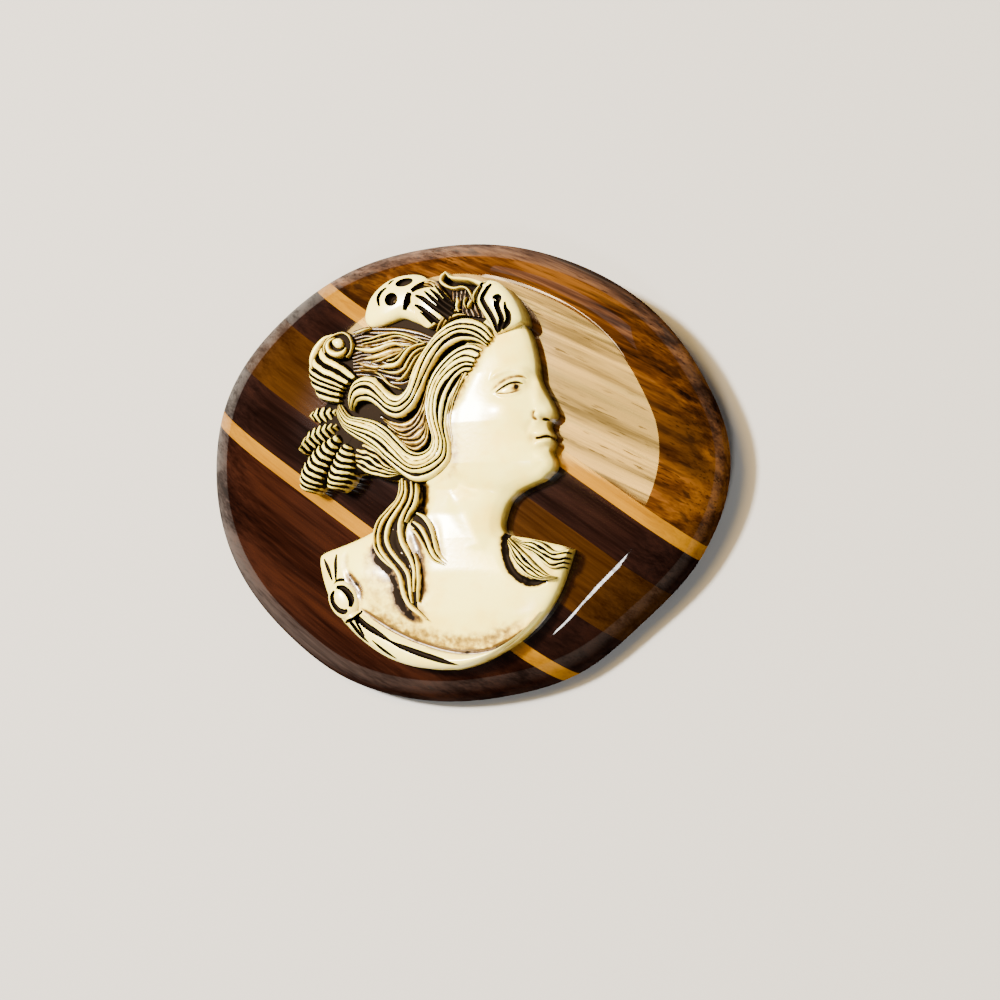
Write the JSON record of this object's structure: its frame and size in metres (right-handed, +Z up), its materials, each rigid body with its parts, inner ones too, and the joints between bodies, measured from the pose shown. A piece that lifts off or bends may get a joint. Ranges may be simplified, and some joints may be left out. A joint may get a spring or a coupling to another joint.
{
  "type": "cameo brooch",
  "caption": "Brooch with a laminated wooden pebble body, a carved relief bust in profile on its flat top and a horizontal pin on its back.",
  "frame": {"origin": "middle of the brooch's plan box, on the surface it rests on", "axes": "+Z up from that surface, +X to the right across the figure, +Y towards the top of the figure; the brooch rests tilted a few degrees on its pin and its lower rim"},
  "size_m": [0.062, 0.0524, 0.0178],
  "materials": {
    "walnut": "glossy lacquered golden-brown walnut with dark streaks and pores",
    "maple": "glossy lacquered yellow-orange maple",
    "dark_wood": "glossy lacquered dark red-brown wood",
    "amber_wood": "glossy lacquered caramel-brown wood",
    "mahogany": "glossy lacquered very dark reddish wood",
    "ivory_resin": "glossy cream resin with a dark wash in the grooves",
    "pin_steel": "dull plated steel"
  },
  "bodies": {
    "root": {"walnut_panel": "walnut", "upper_maple_strip": "maple", "upper_dark_strip": "dark_wood", "amber_strip": "amber_wood", "lower_dark_strip": "dark_wood", "lower_maple_strip": "maple", "mahogany_panel": "mahogany", "cameo": "ivory_resin", "pin_back": "pin_steel"}
  },
  "joints": []
}
